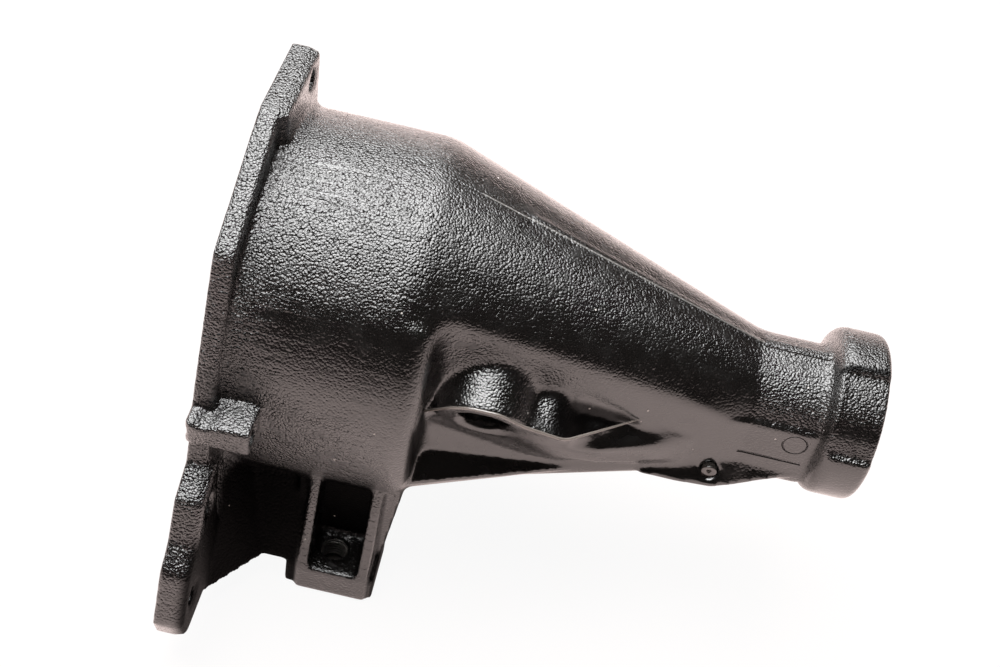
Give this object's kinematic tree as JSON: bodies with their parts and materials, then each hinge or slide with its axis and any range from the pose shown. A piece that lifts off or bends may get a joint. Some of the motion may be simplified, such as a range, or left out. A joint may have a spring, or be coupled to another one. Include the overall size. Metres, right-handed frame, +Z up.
{
  "type": "transmission extension housing",
  "caption": "Cast tail housing of a vehicle transmission: case flange, bell, cone and neck round the output shaft, with a speedometer drive boss, mount feet, tail bush and oil seal.",
  "frame": {"origin": "centre of the pilot bore at the case flange's mating face, on the output shaft's axis", "axes": "+X along the output shaft's axis from the case flange to the tail, +Z up, the speedometer boss faces -Y"},
  "size_m": [0.27, 0.2642, 0.1955],
  "materials": {
    "housing_paint": "gloss black paint over a rough cast surface",
    "bush_bronze": "plain bearing bronze",
    "seal_steel": "pressed steel",
    "seal_rubber": "moulded rubber",
    "spring_steel": "drawn wire",
    "plug_steel": "painted over with the housing"
  },
  "bodies": {
    "root": {"extension_housing": "housing_paint", "output_bushing": "bush_bronze", "oil_seal_case": "seal_steel", "oil_seal_lip": "seal_rubber", "seal_garter_spring": "spring_steel", "neck_plug": "plug_steel"}
  },
  "joints": []
}
